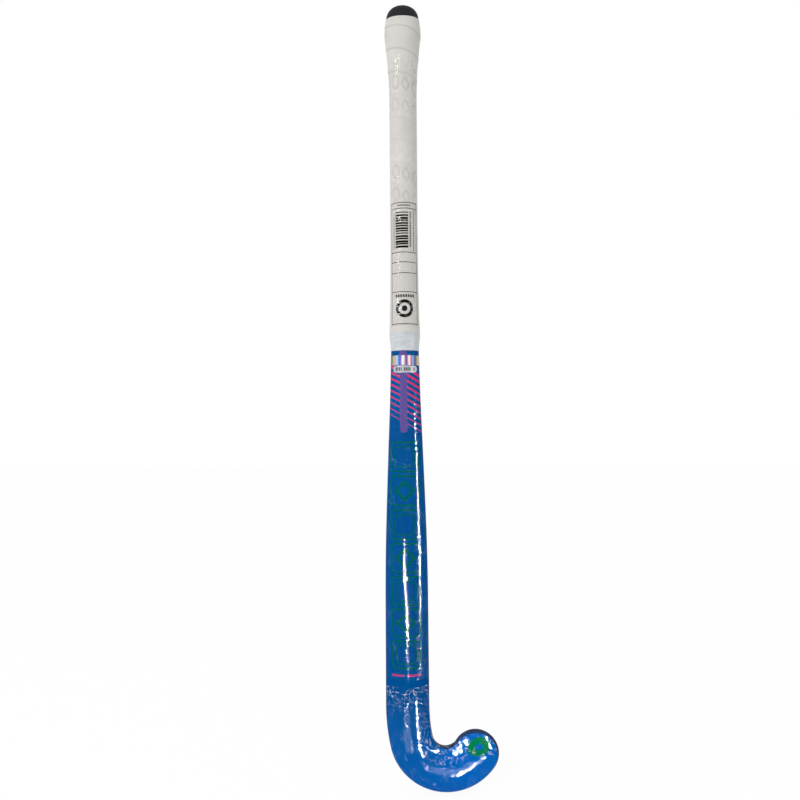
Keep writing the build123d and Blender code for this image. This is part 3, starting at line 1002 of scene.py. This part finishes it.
class StickPrints(bpy.types.PropertyGroup):
    """Sizes and places of the printing on the laminate."""

    axis_at_base: length("Axis at base", "The printed axis at height 0, from the crown line", -0.25)
    axis_drift: ratio("Axis drift", "Drift of the printed axis per unit of height", 0.0039)
    stripe_width: length("Stripe width", "Width of the centre stripe", 8.1)
    stripe_low: length("Stripe end", "Height of the stripe's round end", 412.4)
    bar_top: length("Bars top", "Height of the first bar at the printed axis", 486.8)
    bar_pitch: length("Bar pitch", "Distance between bars up the shaft", 6.86)
    bar_width: length("Bar width", "Width of the first bar", 3.4)
    bar_thinning: length("Bar thinning", "How much thinner each next bar is", 0.3)
    bar_slope: ratio("Bar slope", "Fall of a bar per unit across", 0.57)
    bar_count: count("Bars", "Number of bars", 10)
    frame_top: length("Frames top", "Height where the column of frames starts", 404.5)
    frame_length: length("Frame length", "Length of one frame with its gap", 37.0)
    frame_gap: length("Frame gap", "Gap between one frame and the next", 3.2)
    frame_width: length("Frame width", "Width of a frame across the back", 34.0)
    frame_corner: length("Frame corner", "Corner radius of a frame", 6.0)
    frame_inset: length("Frame inset", "Distance from a frame to the one inside it", 5.0)
    frame_count: count("Frames", "Number of frames", 7)
    lozenge_share: ratio("Lozenge", "Reach of a lozenge as a share of its frame", 0.58)
    line_width: length("Line width", "Width of the frames' lines", 1.9)
    dash_at: length("Dashes", "Height of the dashes under the frames", 139.5)
    dark_edge: length("Dark edge", "How far from the playing face its slate colour ends", 12.3)
    ring_turn: bpy.props.FloatProperty(
        name="Ring turn",
        description="Lean of the oval ring",
        default=np.radians(-12.0),
        unit="ROTATION",
        subtype="ANGLE",
    )
    ring_place: bpy.props.FloatVectorProperty(
        name="Ring place",
        description="Middle of the oval ring on the toe",
        default=(0.0405, 0.0, 0.0550),
        unit="LENGTH",
        subtype="TRANSLATION",
    )
    ring_size: bpy.props.FloatVectorProperty(
        name="Ring size",
        description="Half lengths of the oval ring",
        default=(0.0135, 1.0, 0.0098),
        unit="LENGTH",
        subtype="TRANSLATION",
    )


class StickRelief(bpy.types.PropertyGroup):
    """Relief of the wound grip and of the shrink film."""

    overlap_pitch: length("Overlap pitch", "Rise of one turn of the grip strip", 25.0)
    overlap_height: length("Overlap height", "Height of the strip's overlapping edge", 0.3)
    overlap_from: length("Overlap from", "Height of one overlap at the crown", 861.0)
    emboss_height: length("Emboss depth", "Depth of the grip's pressed outlines", 0.55)
    rim_dip: length("Rim dip", "How far the grip's top edge dips at the crown", 4.4)
    wrinkle: length("Sleeve wrinkle", "Depth of the sleeve's wrinkles", 0.06)
    head_wrinkle: length("Head wrinkle", "Depth of the head film's wrinkles", 0.45)


def fit(piece, finish, cad_node):
    """Gives a piece its material and slot, and lets it stand for its CAD node."""
    piece.data.materials.append(finish)
    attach(piece, "root")
    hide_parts(cad_node)


class STICK_OT_laminate(bpy.types.Operator):
    """Lacquered laminate of shaft, handle and head, with its inner wall"""

    bl_idname = "stick.laminate"
    bl_label = "Laminate"

    def execute(self, context):
        shaft = np.arange(LAMINATE_TOP, HEEL_HEIGHT, -LAMINATE_ROWS)
        rows = np.concatenate([shaft, np.linspace(HEEL_HEIGHT, TOE_END, 80)])
        outer = skin(rows, 0.0, toe_steps=22)
        inner = skin([*rows[::2], TOE_END], -WALL, toe_steps=10)
        piece = bag_of("laminate", outer, inner)
        scene = context.scene
        finish = lacquered_laminate(scene.stick_colours, scene.stick_prints)
        fit(piece, finish, "outer_laminate")
        return {"FINISHED"}


class STICK_OT_cap(bpy.types.Operator):
    """Rubber cap: domed top, rim bead, skirt under the grip and spigot in the handle"""

    bl_idname = "stick.cap"
    bl_label = "End cap"

    def execute(self, context):
        # Half profile as radius and height: a squarish superellipse, a bead, then the skirt
        turn = np.linspace(np.pi / 2, 0, 40)
        dome_r = CAP_RADIUS * np.cos(turn) ** CAP_POWERS[0]
        dome_z = RIM + CAP_DOME * np.sin(turn) ** CAP_POWERS[1]
        bead_in, bead_down = np.array(CAP_BEAD_EDGE)
        skirt_z = np.linspace(RIM - CAP_BEAD, SKIRT_LOW, 40)
        skirt_r = HANDLE[0] / 2 + flare(skirt_z)
        disc = LAMINATE_TOP + BOND
        tip = disc - SPIGOT_LENGTH
        blunt = SPIGOT_RADIUS - SPIGOT_CHAMFER
        inside_r = [CAP_BORE, CAP_BORE, SPIGOT_RADIUS, SPIGOT_RADIUS, blunt, 0.0]
        inside_z = [SKIRT_LOW, disc, disc, tip + SPIGOT_CHAMFER, tip, tip]
        radius = np.concatenate([dome_r, CAP_RADIUS - bead_in, skirt_r, inside_r])
        height = np.concatenate([dome_z, RIM - bead_down, skirt_z, inside_z])
        angle = np.linspace(0, 2 * np.pi, 96, endpoint=False)
        x = SHAFT_X + radius[:, None] * np.cos(angle)
        y = HANDLE_MIDDLE_Y + radius[:, None] * np.sin(angle)
        points = np.stack([x, y, np.repeat(height[:, None], len(angle), 1)], -1)
        piece = build("end_cap_rubber", points, grid_faces(*points.shape[:2]), merge=True)
        fit(piece, cap_rubber(context.scene.stick_colours), "end_cap")
        return {"FINISHED"}


class STICK_OT_grip(bpy.types.Operator):
    """Cushion grip wound in a spiral: overlapping edges and soft embossed shapes"""

    bl_idname = "stick.grip"
    bl_label = "Cushion grip"

    def execute(self, context):
        relief = context.scene.stick_relief
        z = np.arange(GRIP_LOW, RIM - 0.9, GRIP_ROWS)
        inner_z = np.linspace(GRIP_LOW, z[-1], 90)
        at_tape, above = GRIP_ON_SKIRT
        outer = skin(z, flare(z) + TAPE[0] + GRIP_STEP * step(z))
        inner = skin(inner_z, flare(inner_z) + at_tape + (above - at_tape) * step(inner_z))
        height, painted_shade = self.strip(relief, z, outer)
        fade = (ease((z - TAPE_HIGH) / 12.0) * ease((RIM - 1.0 - z) / 5.0))[:, None]
        wound = raised(outer, height * fade)
        for layer, rows in ((wound, z), (inner, inner_z)):
            self.dip(relief, layer, rows)
        piece = sleeve_of("grip_strip", wound, inner)
        # Painted shade in the grooves and outlines, stored on each point of the outer skin
        mark(piece, "groove", painted_shade * fade)
        fit(piece, cast_grip(context.scene.stick_colours), "cushion_grip")
        return {"FINISHED"}

    def strip(self, relief, z, outer):
        """Height of the wound strip's relief, and where shade is painted into its grooves and
        outlines.

        A sawtooth runs round the handle: a groove where one turn ends, a lip where the next
        starts. Outlines are pressed in along it, lozenges and ovals by turns."""
        across = outer.across[:, :-1]
        girth_round = 2 * np.abs(outer.across[:, :1])
        pitch = relief.overlap_pitch / MM
        fallen = z[:, None] + pitch * across / girth_round - relief.overlap_from / MM
        place = (fallen / pitch) % 1
        groove = bell(np.minimum(place, 1 - place), LAP_GROOVE)
        lip = bell(place - LAP_LIP[0], LAP_LIP[1]) + LAP_FALL * (1 - place)
        # The laps stand out at the knob and are pulled flat on the handle's straight part
        lasting = (LAP_LEFT + (1 - LAP_LEFT) * ease((z - LAP_FLAT_TO) / LAP_RISE))[:, None]
        height = relief.overlap_height / MM * (lip - (1 + LAP_FALL) - LAP_CUT * groove) * lasting
        side = (across + OUTLINE_START) / OUTLINE_PITCH
        u = (side % 1 - 0.5) * OUTLINE_PITCH / OUTLINE_HALF[0]
        w = (place - OUTLINE_MIDDLE) * pitch / OUTLINE_HALF[1]
        outline = np.where(np.floor(side) % 2 == 0, np.abs(u) + np.abs(w), np.hypot(u, w))
        rows_on = sum(bell(z - middle, OUTLINE_FADE) for middle in OUTLINE_ROWS)
        line, line_width = OUTLINE_LINE
        emboss = bell(outline - line, line_width) * np.minimum(1.6 * rows_on, 1)[:, None]
        height = height - relief.emboss_height / MM * emboss
        # The foam is uneven by 0.06 mm and sunk by 0.1 mm, so that none of it leaves its solid
        uneven = 0.06 * ripple(22.0, 5, outer.points[..., 0], outer.points[..., 2])
        # The second value is where shade is painted: the grooves, and the pressed outlines
        return height - 0.1 + uneven, groove * lasting + 0.9 * emboss

    def dip(self, relief, layer, rows):
        """Lowers the top edge towards the crown, where the strip starts its first turn."""
        away = layer.points[..., :2] - np.array([SHAFT_X, HANDLE_MIDDLE_Y])
        front = np.clip(-away[..., 1] / np.linalg.norm(away, axis=-1), 0, 1) ** 1.3
        drop = relief.rim_dip / MM * front * ease((rows - RIM + 22.0) / 22.0)[:, None]
        layer.points[..., 2] -= drop


class STICK_OT_tape(bpy.types.Operator):
    """Finishing tape over the grip's lower end, slightly ridged by its turns"""

    bl_idname = "stick.tape"
    bl_label = "Finishing tape"

    def execute(self, context):
        z = np.linspace(TAPE_LOW, TAPE_HIGH, 60)
        low, high = TAPE
        outer = skin(z, high + GRIP_STEP * step(z))
        inner = skin(z[::3], low + GRIP_STEP * step(z[::3]))
        # One ridge for each turn, over slow waves
        turn = outer.across[:, :-1] / (2 * np.abs(outer.across[:, :1]))
        place = ((z[:, None] + TAPE_TURN * turn) / TAPE_TURN) % 1
        slow = 0.03 * ripple(9.0, 3, outer.points[..., 0], outer.points[..., 2])
        ridge = 0.04 * bell(place - 0.5, 0.12) + slow
        piece = sleeve_of("tape_wrap", raised(outer, np.maximum(ridge, 0)), inner)
        fit(piece, stretched_tape(context.scene.stick_colours), "finishing_tape")
        return {"FINISHED"}


class STICK_OT_foil(bpy.types.Operator):
    """Hologram foil band round the shaft, under the grip"""

    bl_idname = "stick.foil"
    bl_label = "Foil band"

    def execute(self, context):
        z = np.linspace(*span("hologram_band"), 13)
        low, high = FOIL
        band = sleeve_of("hologram_foil", skin(z, high), skin(z[::4], low))
        fit(band, diffraction_foil(), "hologram_band")
        return {"FINISHED"}


class STICK_OT_sticker(bpy.types.Operator):
    """Silver size sticker on the back, under the foil band"""

    bl_idname = "stick.sticker"
    bl_label = "Size sticker"

    def execute(self, context):
        low, high = span("size_sticker")
        z = np.linspace(low, high, 25)
        into = np.clip(STICKER_CORNER - np.minimum(z - low, high - z), 0, STICKER_CORNER)
        half = STICKER_HALF - STICKER_CORNER + np.sqrt(STICKER_CORNER**2 - into**2)
        flat = np.ones_like(z)
        sticker = plate_of("size_tag", z, half, FOIL[0] * flat, FOIL[1] * flat)
        fit(sticker, silver_sticker(context.scene.stick_colours), "size_sticker")
        return {"FINISHED"}


class STICK_OT_label(bpy.types.Operator):
    """Retail label wrapped over the back of the grip, a little loose and creased"""

    bl_idname = "stick.label"
    bl_label = "Retail label"

    def execute(self, context):
        z = np.linspace(*span("retail_label"), 110)
        lie = 0.04 * ripple(30.0, 8, z)
        rest = GRIP_STEP * step(z) + lie
        low, high = PAPER
        half = np.full_like(z, LABEL_HALF)
        piece = plate_of("label_sheet", z, half, low + rest, high + rest)
        fit(piece, label_paper(context.scene.stick_colours), "retail_label")
        return {"FINISHED"}


class STICK_OT_film(bpy.types.Operator):
    """Clear shrink film: the long sleeve, and the bag over the head with its gathered edge"""

    bl_idname = "stick.film"
    bl_label = "Shrink film"

    def execute(self, context):
        relief = context.scene.stick_relief
        self.sleeve(relief.wrinkle / MM)
        self.bag(relief.head_wrinkle / MM)
        return {"FINISHED"}

    def sleeve(self, wrinkle):
        """The long sleeve, with waves 10 mm long, strong in some places and gone in others."""
        z = np.arange(SLEEVE_LOW, SLEEVE_HIGH, SLEEVE_ROWS)
        rest = flare(z) + GRIP_STEP * step(z)
        low, high = SLEEVE
        outer, inner = skin(z, high + rest), skin(z, low + rest)
        x, y, height = (outer.points[..., i] for i in range(3))
        slack = ripple(38.0, 12, x, height * 0.7)
        crease = ripple(10.0, 11, x, y * 1.3, height * 0.6) * slack
        wave = np.maximum(wrinkle * crease, -0.1)
        piece = sleeve_of("sleeve_shrink_film", raised(outer, wave), raised(inner, wave))
        # Folds where it is slack, more of them on the grip, and all along its seam under the grip
        gathers = np.clip(slack, 0, 1) * (0.25 + ease((height - 500.0) / 40.0))
        seam = 0.9 * bell(outer.across[:, :-1] - SEAM, 1.6) * ease((480.0 - height) / 60.0)
        mark(piece, "gathered", np.maximum(gathers, seam))
        pleats = (9.0, 9.0, 2.8)
        finish = shrink_film("PVC shrink film, drawn tight", 0.12, pleats, depth=0.00042, folds=0.6)
        fit(piece, finish, "sleeve_film")

    def bag(self, wrinkle):
        """The bag over the head: crumpled, with slanting pleats that die out below its edge."""
        shaft = np.arange(HEAD_FILM_TOP, HEEL_HEIGHT, -HEAD_FILM_ROWS)
        rows = np.concatenate([shaft, np.linspace(HEEL_HEIGHT, TOE_END, 150)])
        low, high = HEAD_FILM
        outer = skin(rows, high, toe_steps=30)
        inner = skin(rows, low, toe_steps=30)
        x, y, height = (outer.points[..., i] for i in range(3))
        crumple = ripple(6.0, 21, x, y, height) * ripple(19.0, 22, x, y, height)
        gather = bell(np.maximum(HEAD_FILM_TOP - height, 0) - 4.0, 11.0)
        pleat = np.sin((height + x * 1.4) * 1.5 + 2.5 * ripple(14.0, 23, x, height))
        wave = wrinkle * (0.06 * crumple + 0.28 * gather * pleat)
        # Flat at height 0, where the head stands on its heel
        wave = np.maximum(wave, -0.15) * (np.abs(height) > 3.0)
        piece = bag_of("head_shrink_film", raised(outer, wave), raised(inner, wave))
        # Folds under its edge, on the side of the hook, along its seam and in slack places
        beside = outer.across[:, :-1]
        hook_side = ease((beside - 4.0) / 14.0) * ease((44.0 - beside) / 14.0)
        hook_side = hook_side * bell(height - 55.0, 45.0)
        gathers = np.maximum(bell(HEAD_FILM_TOP - height - 6.0, 14.0), 0.8 * hook_side)
        gathers = np.maximum(gathers, bell(beside - SEAM, 2.4))
        slack = np.clip(ripple(22.0, 31, x, y, height), 0, 1)
        mark(piece, "gathered", np.maximum(gathers, 0.7 * slack))
        pleats = (3.0, 3.0, 2.0)
        finish = shrink_film("PVC shrink film, crackled", 0.12, pleats, depth=0.0001, folds=0.6)
        fit(piece, finish, "head_film")


class STICK_OT_inside(bpy.types.Operator):
    """Finishes for the layers that stay as CAD solids inside the stick"""

    bl_idname = "stick.inside"
    bl_label = "Inner layers"

    def execute(self, context):
        # Foam is open and chalky with 1 mm cells, the tubes show satin black fibre tows 3 mm wide,
        # and the tape is creamy and dull with creases 2.5 mm apart
        foam = "Rigid polyurethane foam, cast", "#D9C79A", "#C4AF7E", 1.1, 0.9, 0.0004
        tows = (3.3, 3.3, 25.0)
        woven = "Carbon laminate, bladder moulded", "#2A2C30", "#3A3D43", tows, 0.45, 0.0002
        creases = (8.0, 8.0, 2.5)
        sticky = "Acrylic tape, double sided", "#E9E4D2", "#DDD6C0", creases, 0.6, 0.0001
        for names, look in (
            (("head_core", "handle_plug"), foam),
            (("left_tube", "right_tube"), woven),
            (("grip_underlay",), sticky),
        ):
            finish = hidden_finish(*look)
            for name in names:
                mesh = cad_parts[name].data
                mesh.materials.clear()
                mesh.materials.append(finish)
        return {"FINISHED"}


# Each light's place, what it aims at, its lean about its aim, its size and its radiance, in metres
# and radians
LIGHTS = (
    ("key", (-1.6, -1.9, 1.3), (-0.04, 0.0, 0.45), 0.0, (1.4, 1.4), 2.5),
    ("crown_card", (-0.0565, -0.216, 0.134), (-0.04, -0.02, 0.25), 0.26, (0.019, 0.168), 480.0),
    ("side_card", (0.245, -0.20, 0.22), (-0.04, -0.02, 0.28), 0.0, (0.034, 0.42), 180.0),
    ("toe_card", (0.039, -0.034, 0.0115), (0.032, 0.004, 0.04), 0.51, (0.05, 0.004), 200.0),
    ("crook_card", (-0.008, -0.036, 0.062), (-0.029, -0.001, 0.081), 0.0, (0.005, 0.054), 260.0),
    ("head_glow", (-0.044, -0.036, 0.062), (-0.04, -0.001, 0.081), 0.0, (0.02, 0.056), 12.0),
    ("toe_glow", (0.012, -0.036, 0.014), (0.01, -0.001, 0.036), 0.0, (0.06, 0.014), 12.0),
)


class STICK_OT_stage(bpy.types.Operator):
    """White floor and surroundings, studio lights and the camera"""

    bl_idname = "stick.stage"
    bl_label = "Stage"

    def execute(self, context):
        self.floor(context)
        self.world(context)
        self.lights(context)
        self.camera(context)
        return {"FINISHED"}

    def floor(self, context):
        """Matt white floor under the head: white to the eye and to mirrors but for its shadow."""
        made, node = material("Studio floor, matt white")
        matt = node("BsdfDiffuse", linear("#EFEFEF"))
        white = node("Emission", linear("#FFFFFF"), 1.03)
        share = node("Math", shows_white(node), 0.9, operation="MULTIPLY")
        node("OutputMaterial", node("MixShader", share, matt, white))
        # Cut into squares, and half a millimetre under the stick's lowest point
        steps = np.linspace(-6000.0, 6000.0, 13)
        x, y = np.meshgrid(steps, steps)
        points = np.stack([x, y, np.full_like(x, cad_box[0][2] / MM - 0.5)], -1).reshape(-1, 3)
        faces = grid_faces(len(steps), len(steps), close_columns=False)
        mesh = bpy.data.meshes.new("floor")
        mesh.from_pydata((points * MM).tolist(), [], faces.tolist())
        mesh.materials.append(made)
        floor = bpy.data.objects.new("floor", mesh)
        context.scene.collection.objects.link(floor)

    def world(self, context):
        """White to the eye and to mirrors, and a plain grey-white light to the rest."""
        world = bpy.data.worlds.new("Studio")
        world.use_nodes = True
        world.node_tree.nodes.clear()
        node = partial(add, world.node_tree)
        room = node("Background", linear("#FEFEFF"), 0.72)
        white = node("Background", linear("#FFFFFF"), 1.0)
        node("OutputWorld", node("MixShader", shows_white(node), room, white))
        context.scene.world = world

    def lights(self, context):
        """A soft key from the heel side, then bright and dim cards that only the gloss shows."""
        for name, place, aim, lean, size, radiance in LIGHTS:
            data = bpy.data.lights.new(name, "AREA")
            data.shape = "RECTANGLE"
            data.size, data.size_y = size
            # An area light is as bright as its power over four times its area
            data.energy = 4 * radiance * size[0] * size[1]
            light = bpy.data.objects.new(name, data)
            light.location = place
            toward = Vector(aim) - Vector(place)
            turned = toward.to_track_quat("-Z", "Y") @ Quaternion((0.0, 0.0, 1.0), lean)
            light.rotation_euler = turned.to_euler()
            light.visible_camera = False
            light.visible_diffuse = name == "key"
            context.scene.collection.objects.link(light)

    def camera(self, context):
        """A camera 0.73 m in front, level with the middle of the stick and turned half a degree."""
        data = bpy.data.cameras.new("camera")
        data.sensor_width = 36.0
        data.lens = 29.25
        data.shift_x = -0.0069
        data.shift_y = 0.0325
        data.clip_start, data.clip_end = 0.01, 50.0
        camera = bpy.data.objects.new("camera", data)
        roll = np.radians(0.45)
        right = Vector((np.cos(roll), 0.0, -np.sin(roll)))
        up = Vector((np.sin(roll), 0.0, np.cos(roll)))
        turned = Matrix((right, up, (0.0, -1.0, 0.0))).transposed().to_4x4()
        camera.matrix_world = Matrix.Translation((-0.040, -0.7322, 0.4199)) @ turned
        context.scene.collection.objects.link(camera)
        context.scene.camera = camera


OPERATORS = (
    STICK_OT_laminate,
    STICK_OT_cap,
    STICK_OT_grip,
    STICK_OT_tape,
    STICK_OT_foil,
    STICK_OT_sticker,
    STICK_OT_label,
    STICK_OT_film,
    STICK_OT_inside,
    STICK_OT_stage,
)
GROUPS = {"stick_colours": StickColours, "stick_prints": StickPrints, "stick_relief": StickRelief}


class STICK_PT_panel(bpy.types.Panel):
    """Lists the stick's pieces, so that each can be built again"""

    bl_idname = "STICK_PT_panel"
    bl_label = "Hockey Stick"
    bl_space_type = "VIEW_3D"
    bl_region_type = "UI"
    bl_category = "Hockey Stick"

    def draw(self, context):
        for operator in OPERATORS:
            self.layout.operator(operator.bl_idname)
        for place, group in GROUPS.items():
            for name in group.__annotations__:
                self.layout.prop(getattr(context.scene, place), name)


def register():
    for group in GROUPS.values():
        bpy.utils.register_class(group)
    for name, group in GROUPS.items():
        setattr(bpy.types.Scene, name, bpy.props.PointerProperty(type=group))
    for operator in OPERATORS:
        bpy.utils.register_class(operator)
    bpy.utils.register_class(STICK_PT_panel)


def unregister():
    bpy.utils.unregister_class(STICK_PT_panel)
    for operator in reversed(OPERATORS):
        bpy.utils.unregister_class(operator)
    for name in GROUPS:
        delattr(bpy.types.Scene, name)
    for group in reversed(GROUPS.values()):
        bpy.utils.unregister_class(group)


def main():
    """Builds every piece in order."""
    register()
    bpy.ops.stick.laminate()
    bpy.ops.stick.cap()
    bpy.ops.stick.grip()
    bpy.ops.stick.tape()
    bpy.ops.stick.foil()
    bpy.ops.stick.sticker()
    bpy.ops.stick.label()
    bpy.ops.stick.film()
    bpy.ops.stick.inside()
    bpy.ops.stick.stage()
    bpy.context.scene.view_settings.view_transform = "Standard"


if __name__ == "__main__":
    main()
